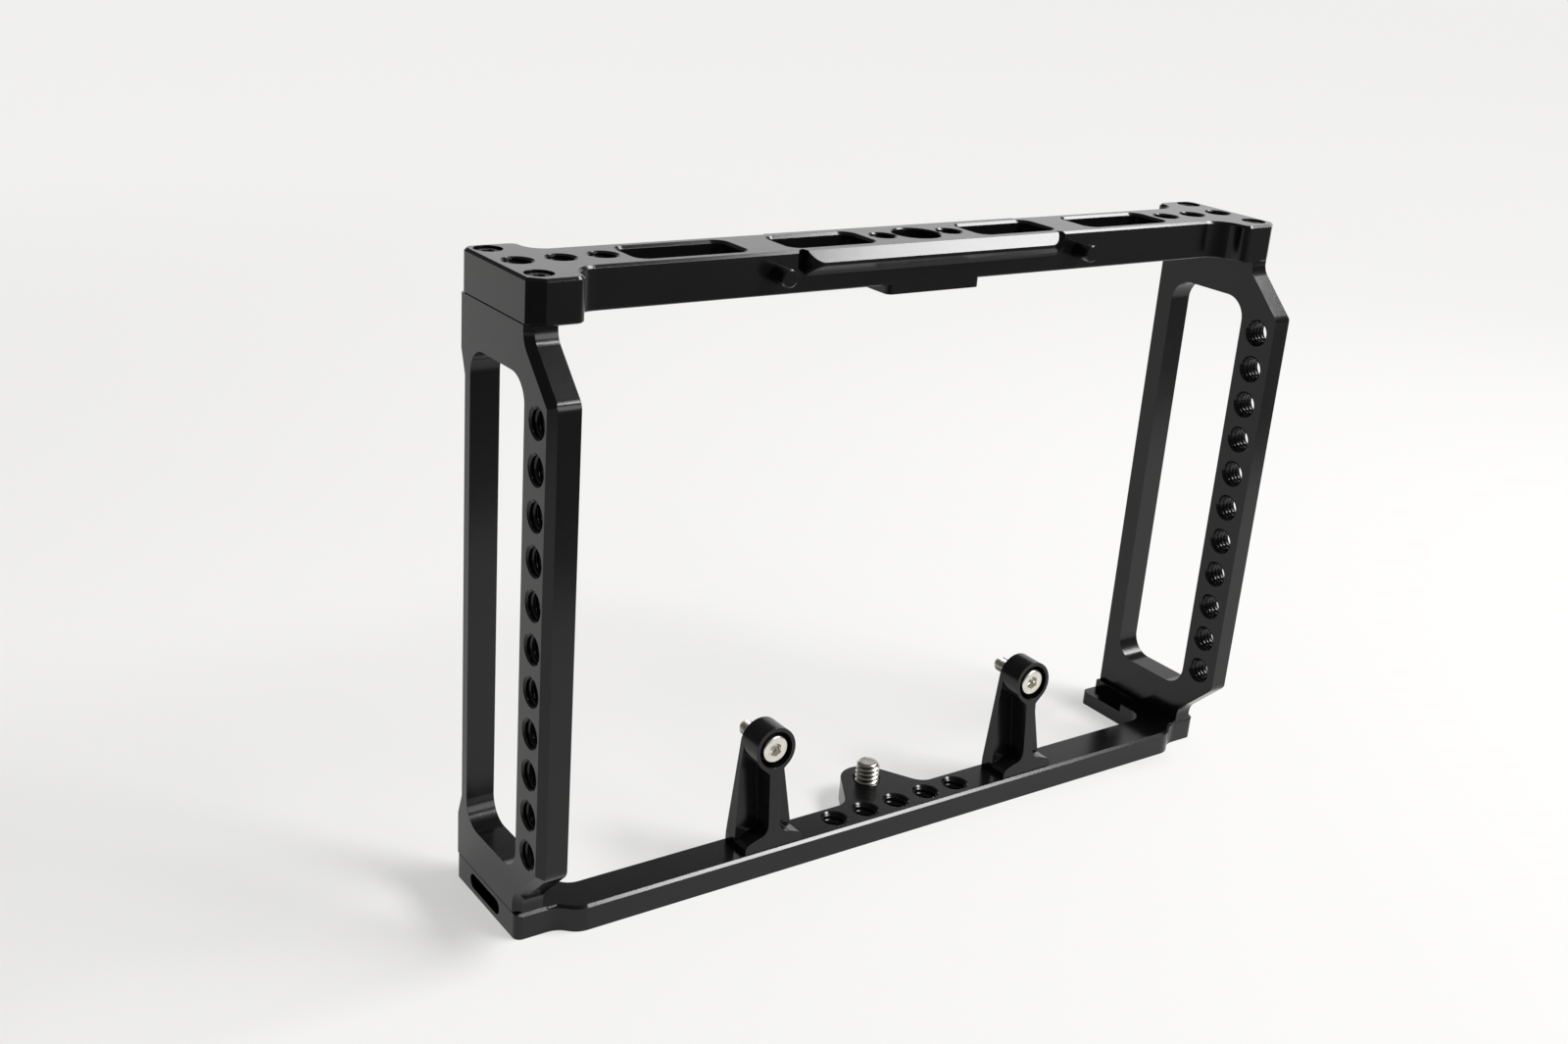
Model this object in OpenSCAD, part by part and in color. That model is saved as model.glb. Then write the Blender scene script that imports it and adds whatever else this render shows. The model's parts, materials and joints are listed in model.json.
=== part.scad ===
// Monitor cage for a 7 inch field monitor.
// x runs across the cage, y from the front (minus) to the rear (plus), z up.
// The origin is under the middle of the cage, on the surface it stands on.

/* [Overall] */
// Outer width of the cage
cage_w = 221; // [196:1:300]
// Depth of the side plates, front to rear
cage_d = 42.6; // [41.6:0.1:52]
// Outer height of the cage
cage_h = 153.4; // [148:0.1:220]
// Thickness of the side plates
side_t = 7; // [6.8:0.1:10]

/* [Top plate] */
// Thickness of the top plate
top_t = 9.7; // [9:0.1:14]
// Depth of the bar between the T-ends
bar_d = 17.8; // [16:0.1:19]
// Distance of the line of holes behind the middle of the cage
line_y = 5.55; // [5.2:0.05:6.2]
// Width of each T-end
end_w = 13; // [12:0.1:20]
// Step of the T-ends behind the front edges of the side plates
end_set = 9.6; // [8.6:0.1:10.4]
// Corner radius of the T-ends
end_r = 2.3; // [1:0.1:3]
// Width of the flat across the outer front corners of the T-ends
end_flat_w = 3.5; // [2.4:0.1:4]
// Depth of the flat across the outer front corners of the T-ends
end_flat_d = 2.6; // [2.4:0.1:4]
// Chamfer of the top edges
top_c = 0.6; // [0.3:0.05:0.9]
// Chamfer of the lower edges
under_c = 0.3; // [0.2:0.05:0.5]
// Width of the boss under the middle of the bar
boss_w = 28; // [27.6:0.1:30]
// Height of the boss under the middle of the bar
boss_h = 2.3; // [1:0.1:4]
// Corner radius of the boss
boss_r = 1.5; // [0.8:0.1:3]

/* [Top plate slots and holes] */
// Start of the inner slots, from the middle
slot_in = 16; // [15.4:0.1:17]
// Length of the inner slots
slot_len = 23.9; // [16:0.1:24.4]
// Start of the outer slots, from the middle
slot_out = 51.6; // [51:0.1:54]
// Length of the outer slots
slot_out_len = 27.8; // [18:0.1:28.4]
// Depth of the slots, front to rear
slot_d = 12.1; // [8:0.1:12.4]
// Corner radius of the slots
slot_r = 2.6; // [1.5:0.1:4]
// Chamfer round the slots
slot_c = 0.65; // [0.2:0.05:0.7]
// Radius of the plain bore in the middle
centre_r = 6; // [4.8:0.05:6.05]
// Chamfer of the plain bore
centre_c = 0.3; // [0.1:0.05:0.35]
// Distance of the threaded holes beside the plain bore
flank_x = 10.1; // [10:0.05:10.3]
// Distance of the first end hole from the end of the cage
hole_end = 5.55; // [5.2:0.05:7]
// Number of threaded holes at each end
end_n = 3; // [1:1:3]

/* [Threads] */
// Outer radius of the 1/4-20 threads
thread_r = 3.175; // [3:0.005:3.2]
// Pitch of the 1/4-20 threads
thread_p = 1.27; // [1:0.01:1.4]
// Radius of the chamfered rim of each threaded hole
rim_r = 3.65; // [3.4:0.05:3.8]
// Spacing of the threaded holes
hole_pitch = 10; // [9:0.1:11]

/* [Accessory rail] */
// Length of the rail
rail_w = 76.6; // [60:0.1:80]
// Distance the rail stands out from the bar
rail_out = 2.5; // [1.5:0.1:3]
// Height of the blunt edge of the rail
rail_edge = 0.8; // [0.5:0.05:1.2]
// Depth of the recesses beside the ends of the rail
rail_in = 1.8; // [1:0.1:1.9]
// Corner radius of the rail, seen from above
rail_r = 4.1; // [2:0.1:6]
// Radius of the recesses beside the rail
run_r = 4.2; // [3:0.1:5]
// Distance the recesses run past the rail
run_out = 2.1; // [1:0.1:2.4]

/* [Stop pins] */
// Distance of the stop pins from the middle
pin_x = 45.6; // [45.2:0.1:46.4]
// Radius of the pins
pin_r = 2.1; // [1.5:0.05:2.4]
// Length of pin that stands out
pin_out = 5.1; // [3:0.1:6]
// Length of the narrow bore that guides a pin
nose_len = 3; // [2:0.1:4]
// Radius of the spring bore
chamber_r = 3; // [2.8:0.05:3.2]
// Thickness of the collar on a pin
collar_t = 1.5; // [1:0.1:2]
// Length of the tail inside the spring
tail_len = 3.5; // [2:0.1:4]
// Radius of the tail inside the spring
tail_r = 1.2; // [0.8:0.05:1.5]
// Thickness of the plug behind the spring
plug_t = 3; // [2:0.1:4]
// Wire radius of the spring
wire_r = 0.25; // [0.15:0.01:0.3]
// Turns of the spring
coil_n = 6; // [4:1:7]

/* [Side plates] */
// Front margin of the window
window_near = 11.55; // [10.4:0.05:13]
// Rear margin of the window
window_far = 5.4; // [4.4:0.1:7]
// End margins of the window
window_end = 10.6; // [10:0.1:14]
// Corner radius of the window
window_r = 6; // [3:0.1:8]
// Distance of the hole row from the front edge
row_in = 5.9; // [5.7:0.05:6.2]
// Number of holes in the row
row_n = 11; // [5:1:11]
// Step of the feet behind the front edge
foot_set = 11; // [9.6:0.05:11.2]
// Height of the upper foot above its slope
lead_top = 2.8; // [2:0.1:4]
// Height of the lower foot below its slope
lead_low = 3.6; // [2:0.1:5]
// Radius between a foot and its slope
foot_r = 4.5; // [2:0.1:4.8]
// Radius of the knees
knee_r = 3.2; // [0.8:0.1:3.5]
// Outer chamfer of the front edge
edge_c = 1.7; // [0.8:0.1:2]
// Outer chamfer of the rear edge at the feet
rear_c = 0.85; // [0.3:0.05:1]
// Outer chamfer of the rear edge between the feet
far_c = 2.8; // [1.2:0.1:3]
// Length over which the rear chamfer runs out
far_ramp = 8; // [4:0.5:12]
// Height of the rear chamfer's start above the bottom plate
far_low = 8.4; // [6:0.1:12]
// Distance of the rear chamfer's end below the top plate
far_top = 9.7; // [6:0.1:12]

/* [Bottom plate] */
// Thickness of the bottom plate
base_t = 6.6; // [6.4:0.1:9]
// Step of the beam behind the front edges of the side plates
beam_set = 6.7; // [5:0.1:7]
// Depth of the beam
beam_d = 10.2; // [10:0.1:13]
// Width of each T-end
foot_w = 14.2; // [12.4:0.1:17]
// Step of the T-ends behind the front edges of the side plates
foot_near = 10.35; // [9.4:0.05:10.6]
// Corner radius of the T-ends
foot_corner = 1.8; // [1:0.1:2.4]
// Chamfer of the top edges of the T-ends
foot_c = 0.25; // [0.1:0.05:0.4]
// Distance of the S-curves from the ends of the cage
bend_out = 8; // [6:0.1:9]
// Length of the S-curves
bend_len = 8.5; // [7:0.1:10]
// Radius behind the beam
base_fillet = 5; // [2:0.1:7]
// Chamfer of the front top edge
base_c = 0.65; // [0.4:0.05:1.2]
// Distance of the beam's hole row from its front edge
beam_row = 5.5; // [5.2:0.1:6]
// Number of holes in the beam
beam_n = 5; // [1:2:5]
// Width of the step milled in the T-ends
step_w = 5.7; // [3:0.1:6.4]
// Length of the step milled in the T-ends
step_d = 16.2; // [8:0.1:20]
// Depth of the step milled in the T-ends
step_h = 2.6; // [1:0.1:3.4]
// Length of the oblong slot in the end faces
pocket_w = 15.4; // [8:0.1:16]
// Height of the oblong slot in the end faces
pocket_h = 3.9; // [2:0.1:4.4]
// Depth of the oblong slot in the end faces
pocket_d = 7; // [4:0.1:7.4]

/* [Tab and monitor screw] */
// Distance of the monitor screw behind the beam
tab_reach = 8.1; // [7.6:0.1:12]
// Radius of the tab round the monitor screw
tab_r = 7; // [6.6:0.1:9]
// Slant of the tab's sides
tab_angle = 30; // [15:1:40]
// Radius between the tab and the beam
tab_fillet = 5; // [2:0.1:8]
// Chamfer round the monitor screw in the tab
tab_rim = 0.7; // [0.3:0.05:0.8]
// Height of the monitor screw above the tab
screw_up = 5.3; // [4:0.1:8]
// Radius of the monitor screw's head
screw_head_r = 4.7; // [4.2:0.05:5]
// Height of the monitor screw's head
screw_head_h = 2.3; // [1.6:0.1:2.6]
// Thickness of the clip in the tab
clip_t = 0.8; // [0.5:0.05:1]
// Radius of the monitor screw's plain shank
screw_shank_r = 3; // [2.9:0.02:3.1]
// Radius of the monitor screw's neck
neck_r = 2.6; // [2:0.05:2.8]
// Outer radius of the clip
clip_r = 3.75; // [3.5:0.05:4.2]

/* [Posts] */
// Distance of the posts from the middle
post_x = 41.8; // [34:0.1:60]
// Width of the posts' feet
post_w = 16.6; // [15:0.1:20]
// Height of the posts' feet beside the stems
post_foot = 3.4; // [2.8:0.1:5]
// Height of the posts' feet at their outer ends
post_toe = 2.1; // [1.4:0.1:2.6]
// Depth of the posts at the foot
post_d = 9.2; // [8.4:0.1:9.5]
// Depth of the posts at the top
post_top_d = 6.6; // [6:0.1:8.2]
// Width of the posts' stems
stem_w = 3.2; // [2.6:0.1:5]
// Height of the posts
post_h = 31.8; // [28:0.1:45]
// Radius of the posts' heads
head_r = 5.7; // [5.3:0.05:7]
// Distance from a post screw's axis to the point below the head
head_low = 6.2; // [6:0.1:8]
// Radius between the stems and the feet
stem_fillet = 3.1; // [1:0.1:3.4]
// Corner cut of the feet
foot_cut = 0.7; // [0.2:0.1:1]
// Thickness of the webs behind the stems, at the head
web_t = 1.6; // [1:0.1:2.4]
// Thickness of the webs behind the stems, at the foot
web_foot = 4.4; // [3:0.1:5]
// Radius of the counterbores in the heads
post_bore = 4.7; // [4:0.05:4.9]
// Thickness of the floor below a post screw's head
post_floor = 2.7; // [2:0.1:3.4]

/* [Screws] */
// Thread radius of the post screws
m4_r = 2; // [1.5:0.05:2.2]
// Thread pitch of the post screws
m4_p = 0.7; // [0.5:0.05:0.8]
// Length of the post screws below the head
m4_len = 10; // [8:0.5:14]
// Radius of the post screws' plain shanks
m4_shank_r = 1.76; // [1.4:0.02:1.94]
// Head radius of the post screws
m4_head_r = 3.5; // [3:0.05:3.8]
// Head height of the post screws
m4_head_h = 4; // [3:0.1:4.2]
// Width of the post screws' sockets across the flats
m4_hex = 3; // [2:0.1:3.4]
// Thread radius of the joint screws
m3_r = 1.5; // [1.2:0.05:1.6]
// Head radius of the joint screws
m3_head_r = 2.75; // [2.4:0.05:2.8]
// Head height of the joint screws
m3_head_h = 3; // [2:0.1:3]
// Width of the joint screws' sockets across the flats
m3_hex = 2.5; // [1.5:0.1:2.6]
// Length of thread in the piece that a joint screw holds
m3_bite = 8; // [5:0.5:9]
// Length of thread in a post
post_bite = 4.5; // [3.5:0.1:4.8]
// Radius of the joint screws' counterbores
sink_r = 3.2; // [3.1:0.05:3.5]
// Depth of the joint screws' counterbores
sink_d = 3.5; // [3.3:0.1:4]
// Distance of the joint screws from the ends of the cage
joint_in = 4.5; // [4.2:0.05:4.8]
// Spacing of the joint screws
joint_span = 23.5; // [23.4:0.05:24.4]

/* [Clearances] */
// Radial clearance of a running fit
run_fit = 0.05; // [0.02:0.01:0.09]
// Radial clearance of a threaded or pressed piece
seat_fit = 0.02; // [0.01:0.01:0.05]
// Gap between pieces that move past each other
gap = 0.3; // [0.2:0.05:0.4]

/* [Hidden] */
$fn = 48;
black = [0.13, 0.13, 0.14];
steel = [0.78, 0.77, 0.73];
over = 1;                                   // how far a cutter runs past a face
foot_steps = 15;                            // flats that make the radius above a foot
lap = 2;                                    // how far joined shapes run into each other
nip = 0.02;                                 // how far a side runs inside the round that it meets
end_x = cage_w / 2;
near_y = -cage_d / 2;
far_y = cage_d / 2;
top_z = cage_h - top_t;                     // underside of the top plate
front = line_y - bar_d / 2;                 // front face of the top bar
rear = line_y + bar_d / 2;                  // rear face of the top bar
end_near = near_y + end_set;
foot_y = near_y + foot_set;
beam_y = near_y + beam_set;                 // front face of the bottom beam
beam_rear = beam_y + beam_d;
base_near = near_y + foot_near;
base_in = end_x - foot_w;                   // inner face of the bottom T-ends
joint_x = end_x - joint_in;
joint_y = [line_y - joint_span / 2, line_y + joint_span / 2];
screw_y = beam_rear + tab_reach;
thread_h = 0.61 * thread_p;                 // depth of a 1/4-20 thread
rail_mid = top_t - rail_out - rail_edge;    // foot of the rail's blunt edge
rail_low = rail_mid - rail_out;             // foot of the rail's lower bevel
run_x = rail_w / 2 + run_out - sqrt(run_r * run_r - pow(run_r - rail_in, 2));
head_z = post_h - head_r;                   // axis of a post screw above the beam
seat_y = beam_rear - post_floor;            // floor of a post's counterbore
collar_y = front + nose_len + gap;          // front of a pin's collar
plug_y = rear - plug_t;                     // front of a pin's plug
sink_floor = screw_head_h + 2 * gap;        // ceiling of the monitor screw's recess
clip_z = sink_floor + (base_t - sink_floor - clip_t) / 2;

// Outlines and prisms

module rrect(w, d, r) {
  square([w - 2 * r, d], center = true);
  square([w, d - 2 * r], center = true);
  for (x = [-1, 1], y = [-1, 1])
    translate([x * (w / 2 - r), y * (d / 2 - r)])
      circle(r);
}

// A profile drawn in y and z, centred along x
module along_x(len)
  rotate([90, 0, 90])
    linear_extrude(len, center = true)
      children();

// A profile drawn in x and z, centred along y
module along_y(len)
  rotate([90, 0, 0])
    linear_extrude(len, center = true)
      children();

// Turns a shape drawn up the z axis so that it runs to the rear
module to_rear()
  rotate([-90, 0, 0])
    children();

// A rounded block whose sides lean out by e over its height
module flare(w, d, h, r, e) {
  along_y(d - 2 * r)
    polygon([[-w / 2, 0], [w / 2, 0], [w / 2 + e, h], [-w / 2 - e, h]]);
  along_x(w - 2 * r)
    polygon([[-d / 2, 0], [d / 2, 0], [d / 2 + e, h], [-d / 2 - e, h]]);
  for (x = [-1, 1], y = [-1, 1])
    translate([x * (w / 2 - r), y * (d / 2 - r), 0])
      cylinder(h = h, r1 = r, r2 = r + e);
}

// A rounded plate with chamfered top and lower edges
module slab(w, d, h, r, top, under) {
  translate([0, 0, under])
    linear_extrude(h - top - under)
      rrect(w, d, r);
  translate([0, 0, h - top])
    flare(w, d, top, r, -top);
  if (under > 0)
    translate([0, 0, under])
      mirror([0, 0, 1])
        flare(w, d, under, r, -under);
}

// Cutter for a bore with a chamfered rim at both ends
module drill(r, len, rim) {
  c = rim - r;
  translate([0, 0, -over])
    cylinder(h = len + 2 * over, r = r);
  translate([0, 0, len - c])
    cylinder(h = c + over, r1 = r, r2 = rim + over);
  translate([0, 0, -over])
    cylinder(h = c + over, r1 = rim + over, r2 = r);
}

// Cutter for a rounded slot with a chamfered rim at both ends
module slot_cut(w, d, len, r, c) {
  translate([0, 0, -over])
    linear_extrude(len + 2 * over)
      rrect(w, d, r);
  translate([0, 0, len - c])
    flare(w, d, c + over, r, c + over);
  translate([0, 0, c])
    mirror([0, 0, 1])
      flare(w, d, c + over, r, c + over);
}

// Round inner corner between a bar (at +y) and a T-end (at +x)
module inner_corner(r, h, top, under)
  difference() {
    translate([-r, -r, 0])
      cube([r + lap, r + lap, h]);
    translate([-r, -r, -over])
      cylinder(h = h + 2 * over, r = r);
    if (top > 0)
      translate([-r, -r, h - top])
        cylinder(h = top + over, r1 = r, r2 = r + top + over);
    if (under > 0)
      translate([-r, -r, -over])
        cylinder(h = under + over, r1 = r + under + over, r2 = r);
  }

module both_ends()
  for (s = [0, 1])
    mirror([s, 0, 0])
      children();

// The same shape at the front and at the rear of the top bar
module both_sides() {
  children();
  translate([0, 2 * line_y, 0])
    mirror([0, 1, 0])
      children();
}

// Top plate

module top_blank() {
  corner_near = max(0.2, front - end_near - end_r);
  corner_far = max(0.2, far_y - rear - end_r);
  end_in = end_x - end_w;
  along_x(2 * (end_in + lap))
    polygon([
      [front, under_c], [front + under_c, 0], [rear - under_c, 0], [rear, under_c],
      [rear, top_t - top_c], [rear - top_c, top_t], [front + top_c, top_t], [front, top_t - top_c]
    ]);
  both_ends() {
    translate([end_x - end_w / 2, (end_near + far_y) / 2, 0])
      slab(end_w, far_y - end_near, top_t, end_r, top_c, under_c);
    translate([end_in, front, 0])
      inner_corner(corner_near, top_t, top_c, under_c);
    translate([end_in, rear, 0])
      mirror([0, 1, 0])
        inner_corner(corner_far, top_t, top_c, under_c);
  }
  translate([0, line_y, -boss_h])
    linear_extrude(boss_h + lap)
      rrect(boss_w, bar_d, boss_r);
}

// Cutter for the recesses that a milling cutter leaves beside the ends of the front rail
module rail_recess()
  for (s = [-1, 1])
    translate([s * run_x, front + rail_in - run_r, rail_low + rail_in]) {
      cylinder(h = top_t, r = run_r);
      translate([0, 0, 1 - run_r])
        cylinder(h = run_r - 1, r1 = 1, r2 = run_r);
    }

module rail_lip()
  intersection() {
    along_x(rail_w)
      polygon([
        [front + rail_in + over, top_t], [front, top_t], [front - rail_out, top_t - rail_out],
        [front - rail_out, rail_mid], [front, rail_low], [front + rail_in + over, rail_low]
      ]);
    translate([0, front - rail_out + bar_d / 2, 0])
      linear_extrude(top_t)
        rrect(rail_w, bar_d, rail_r);
  }

// Cutter for the flat across an outer front corner
module end_corner() {
  len = sqrt(end_flat_w * end_flat_w + end_flat_d * end_flat_d);
  k = end_flat_w * end_flat_d / len;
  translate([end_x, end_near, 0])
    rotate([0, 0, atan2(end_flat_d, end_flat_w)])
      along_x(4 * len)
        polygon([
          [-len, -over], [k + under_c + over, -over], [k, under_c], [k, top_t - top_c],
          [k + top_c + over, top_t + over], [-len, top_t + over]
        ]);
}

module top_plate()
  color(black)
    translate([0, 0, top_z])
      difference() {
        union() {
          difference() {
            top_blank();
            rail_recess();
          }
          both_sides()
            rail_lip();
        }
        translate([0, line_y, -boss_h])
          drill(centre_r, top_t + boss_h, centre_r + centre_c);
        both_ends() {
          end_corner();
          translate([slot_in + slot_len / 2, line_y, 0])
            slot_cut(slot_len, slot_d, top_t, slot_r, slot_c);
          translate([slot_out + slot_out_len / 2, line_y, 0])
            slot_cut(slot_out_len, slot_d, top_t, slot_r, slot_c);
          translate([flank_x, line_y, -boss_h])
            drill(thread_r, top_t + boss_h, rim_r - 0.1);
          for (i = [0 : end_n - 1])
            translate([end_x - hole_end - i * hole_pitch, line_y, 0])
              drill(thread_r, top_t, rim_r);
          for (y = joint_y)
            translate([joint_x, y, 0]) {
              translate([0, 0, -over])
                cylinder(h = top_t, r = m3_r + run_fit);
              translate([0, 0, top_t - sink_d])
                cylinder(h = sink_d + over, r = sink_r);
            }
          translate([pin_x, front, top_t / 2])
            to_rear() {
              translate([0, 0, -over])
                cylinder(h = nose_len + 2 * over, r = pin_r + run_fit);
              translate([0, 0, nose_len])
                cylinder(h = bar_d, r = chamber_r);
            }
        }
      }

// Side plates, drawn with the outer face at x = 0

// Cutter for everything in front of an edge along z, which it chamfers on the outer face
module trim()
  linear_extrude(4 * cage_d, center = true)
    polygon([
      [-over, edge_c + over], [edge_c, 0], [side_t + over, 0],
      [side_t + over, -2 * cage_d], [-over, -2 * cage_d]
    ]);

// Cutter for a chamfer c on the outer edge along z
module bevel(c, len)
  linear_extrude(len)
    polygon([[-over, c + over], [c + over, -over], [-over, -over]]);

// Cutter above the slope that leads to a foot, with its corner at the origin.
// The corner is turned in equal steps round the radius.
module relief()
  translate([0, -foot_r, foot_r * tan(22.5)])
    intersection_for (a = [0 : 45 / foot_steps : 45])
      rotate([-a, 0, 0])
        translate([0, foot_r, 0])
          trim();

// Cutter that rounds a knee, with the knee at the origin and the slope above it
module knee_round() {
  k = knee_r * tan(22.5);
  s = sqrt(0.5);
  translate([side_t / 2, 0, 0])
    along_x(side_t + 2 * over)
      difference() {
        polygon([[knee_r, -k], [-over, -k], [-over, over * tan(22.5)], [(k - over) * s, (k + over) * s]]);
        translate([knee_r, -k])
          circle(knee_r);
      }
}

module side_plate() {
  side_h = top_z - base_t;
  window_d = cage_d - window_near - window_far;
  low = base_t + far_low;
  high = top_z - far_top;
  lean = far_ramp / far_c;
  difference() {
    translate([0, near_y, base_t])
      cube([side_t, cage_d, side_h]);
    translate([0, foot_y, top_z - lead_top])
      relief();
    translate([0, foot_y, base_t + lead_low])
      mirror([0, 0, 1])
        relief();
    translate([0, near_y, base_t])
      bevel(edge_c, side_h);
    translate([0, near_y, top_z - lead_top - foot_set])
      knee_round();
    translate([0, near_y, base_t + lead_low + foot_set])
      mirror([0, 0, 1])
        knee_round();
    translate([0, far_y, base_t])
      mirror([0, 1, 0])
        bevel(rear_c, side_h);
    intersection() {
      translate([0, far_y, base_t])
        mirror([0, 1, 0])
          bevel(far_c, side_h);
      along_x(4 * side_t)
        polygon([
          [far_y + over, low - lean * over], [far_y + over, high + lean * over],
          [far_y - far_c - over, high - far_ramp - lean * over],
          [far_y - far_c - over, low + far_ramp + lean * over]
        ]);
    }
    translate([side_t / 2, near_y + window_near + window_d / 2, base_t + side_h / 2])
      along_x(side_t + 2 * over)
        rrect(window_d, side_h - 2 * window_end, window_r);
    for (i = [0 : row_n - 1])
      translate([0, near_y + row_in, base_t + side_h / 2 + (i - (row_n - 1) / 2) * hole_pitch])
        rotate([0, 90, 0])
          drill(thread_r, side_t, rim_r);
    for (y = joint_y) {
      translate([joint_in, y, base_t - over])
        cylinder(h = m3_bite + gap + over, r = m3_r + seat_fit);
      translate([joint_in, y, top_z - m3_bite - gap])
        cylinder(h = m3_bite + gap + over, r = m3_r + seat_fit);
    }
  }
}

module left_side_plate()
  color(black)
    translate([-end_x, 0, 0])
      side_plate();

module right_side_plate()
  color(black)
    mirror([1, 0, 0])
      translate([-end_x, 0, 0])
        side_plate();

// Bottom plate

// S-curve from the front of the beam to the front of a T-end
module bend() {
  rise = base_near - beam_y;
  turn = 2 * atan(rise / bend_len);
  r = bend_len / (2 * sin(turn));
  x1 = end_x - bend_out;
  x0 = x1 - bend_len;
  mid = (x0 + x1) / 2;
  intersection() {
    translate([x0, beam_y + r, 0]) {
      cylinder(h = base_t - base_c, r = r);
      translate([0, 0, base_t - base_c])
        cylinder(h = base_c, r1 = r, r2 = r - base_c);
    }
    translate([x0, beam_y - over, 0])
      cube([mid - x0, r + over + gap, base_t]);
  }
  translate([x0, beam_y + r, 0])
    cube([mid - x0, max(lap, beam_d - r), base_t]);
  difference() {
    translate([mid, beam_y, 0])
      cube([bend_len / 2, beam_d, base_t]);
    translate([x1, base_near - r, -over])
      cylinder(h = base_t + 2 * over, r = r);
    translate([x1, base_near - r, base_t - base_c])
      cylinder(h = base_c + over, r1 = r, r2 = r + base_c + over);
  }
}

module tab() {
  flank = [sin(tab_angle), -cos(tab_angle)];
  touch = [0, screw_y] + (tab_r - nip) * [cos(tab_angle), sin(tab_angle)];
  foot_x = touch.x + (touch.y - beam_rear) * tan(tab_angle);
  reach = tab_fillet * tan((90 - tab_angle) / 2);
  centre = [foot_x + reach, beam_rear + tab_fillet];
  on_flank = [foot_x, beam_rear] - reach * flank;
  inward = [-cos(tab_angle), -sin(tab_angle)];
  linear_extrude(base_t) {
    translate([0, screw_y])
      circle(tab_r);
    polygon([
      [-touch.x, touch.y], touch, [foot_x, beam_rear], [foot_x, beam_rear - lap],
      [-foot_x, beam_rear - lap], [-foot_x, beam_rear]
    ]);
    for (s = [0, 1])
      mirror([s, 0])
        difference() {
          polygon([
            [foot_x - over, beam_rear - lap], [centre.x, beam_rear - lap], [centre.x, beam_rear],
            centre, on_flank, on_flank + over * inward
          ]);
          translate(centre)
            circle(tab_fillet);
        }
  }
}

module base_blank() {
  along_x(2 * (end_x - bend_out - bend_len))
    polygon([
      [beam_y, 0], [beam_rear, 0], [beam_rear, base_t],
      [beam_y + base_c, base_t], [beam_y, base_t - base_c]
    ]);
  both_ends() {
    bend();
    translate([end_x - foot_w / 2, (base_near + far_y) / 2, 0])
      slab(foot_w, far_y - base_near, base_t, foot_corner, foot_c, 0);
    translate([end_x - bend_out - bend_len - lap, beam_y + beam_d / 2, 0])
      cube([bend_len + lap, beam_d / 2, base_t]);
    translate([base_in, beam_rear, 0])
      mirror([0, 1, 0])
        inner_corner(base_fillet, base_t, 0, 0);
  }
  tab();
}

module bottom_plate()
  color(black)
    difference() {
      base_blank();
      both_ends() {
        translate([end_x - bend_out / 2 + over, base_near, base_t])
          along_x(bend_out + 2 * over)
            polygon([[-over, -base_c - over], [base_c + over, over], [-over, over]]);
        translate([base_in - over, far_y - step_d, base_t - step_h])
          cube([step_w + over, step_d + over, step_h + over]);
        translate([end_x - pocket_d / 2 + over / 2, line_y, base_t / 2])
          along_x(pocket_d + over)
            rrect(pocket_w, pocket_h, pocket_h / 2 - 0.01);
        for (y = joint_y)
          translate([joint_x, y, 0]) {
            translate([0, 0, -over])
              cylinder(h = base_t + 2 * over, r = m3_r + run_fit);
            translate([0, 0, -over])
              cylinder(h = sink_d + over, r = sink_r);
          }
        translate([post_x, beam_rear - post_d / 2, 0]) {
          translate([0, 0, -over])
            cylinder(h = base_t + 2 * over, r = m3_r + run_fit);
          translate([0, 0, -over])
            cylinder(h = sink_d + over, r = sink_r);
        }
      }
      for (i = [0 : beam_n - 1])
        translate([(i - (beam_n - 1) / 2) * hole_pitch, beam_y + beam_row, 0])
          drill(thread_r, base_t, rim_r);
      translate([0, screw_y, 0]) {
        translate([0, 0, -over])
          cylinder(h = base_t + 2 * over, r = thread_r + run_fit);
        translate([0, 0, -over])
          cylinder(h = sink_floor + over, r = screw_head_r + gap);
        translate([0, 0, clip_z - gap])
          cylinder(h = clip_t + 2 * gap, r = clip_r + seat_fit);
        translate([0, 0, base_t - tab_rim])
          cylinder(h = tab_rim + over, r1 = thread_r + run_fit, r2 = thread_r + run_fit + tab_rim + over);
      }
    }

// Posts, drawn with the rear face at y = 0 and the foot at z = 0

module post_outline() {
  low = [stem_w / 2, head_z - head_low];
  r = head_r - nip;
  aim = atan2(-head_low, low.x) + acos(r / sqrt(low.x * low.x + head_low * head_low));
  touch = [0, head_z] + r * [cos(aim), sin(aim)];
  inner = stem_w / 2 + stem_fillet;
  top = post_toe + foot_cut * (post_foot - post_toe) / (post_w / 2 - inner);
  for (s = [0, 1])
    mirror([s, 0]) {
      polygon([
        [-over, 0], [post_w / 2, 0], [post_w / 2, post_toe - foot_cut],
        [post_w / 2 - foot_cut, top], [inner, post_foot], [-over, post_foot]
      ]);
      translate([stem_w / 2, post_foot])
        difference() {
          translate([-over, -over])
            square(stem_fillet + over);
          translate([stem_fillet, stem_fillet])
            circle(stem_fillet);
        }
    }
  translate([-stem_w / 2, 0])
    square([stem_w, head_z]);
  polygon([[-low.x, low.y], low, touch, [-touch.x, touch.y]]);
  translate([0, head_z])
    circle(head_r);
}

// The web behind a post: straight sides from the foot to the head
module web_outline() {
  foot = [post_w / 2, post_toe];
  rise = head_z - post_toe;
  far = sqrt(foot.x * foot.x + rise * rise);
  r = head_r - nip;
  aim = atan2(rise, -foot.x) - asin(r / far);
  side = sqrt(far * far - r * r);
  touch = foot + side * [cos(aim), sin(aim)];
  translate([-post_w / 2, 0])
    square([post_w, post_toe]);
  polygon([[-foot.x, foot.y], foot, touch, [-touch.x, touch.y]]);
  translate([0, head_z])
    circle(head_r);
}

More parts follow.
